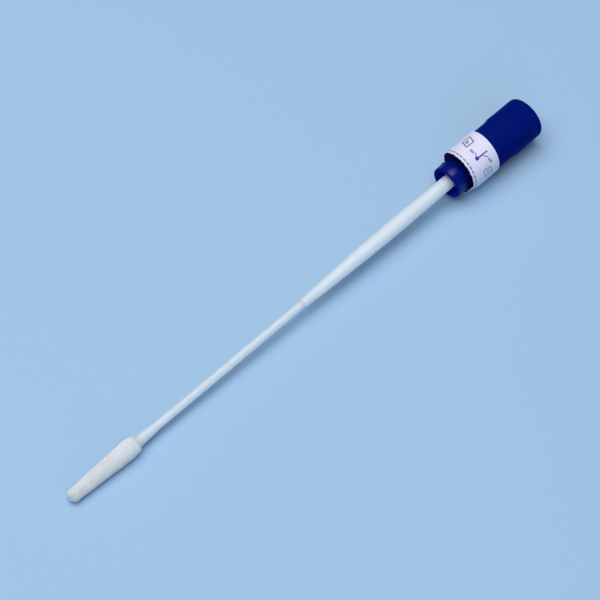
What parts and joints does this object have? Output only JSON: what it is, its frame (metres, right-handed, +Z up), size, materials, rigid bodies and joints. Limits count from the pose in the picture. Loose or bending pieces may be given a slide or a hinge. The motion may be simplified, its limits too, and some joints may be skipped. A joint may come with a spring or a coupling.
{
  "type": "capped specimen swab",
  "caption": "Sampling swab: a flocked bud on a long white shaft with a snap-off notch, held in a blue stopper cap with a torn paper seal.",
  "frame": {"origin": "on the table, under the middle of the swab's footprint as it lies", "axes": "+X along the swab from the bud to the cap, +Z up, the swab's own axis rises 1.8 degrees towards +X"},
  "size_m": [0.1708, 0.013, 0.0137],
  "materials": {
    "flock": "short upright white nylon fibres, matt and velvety",
    "white_plastic": "white polypropylene, satin, slightly translucent, with faint mould texture",
    "blue_plastic": "dark blue polyethylene, soft sheen",
    "seal_paper": "white coated paper with small grey and violet print marks, torn along its perforation"
  },
  "bodies": {
    "root": {"bud": "flock", "shaft": "white_plastic", "cap": "blue_plastic", "paper_seal": "seal_paper"}
  },
  "joints": []
}
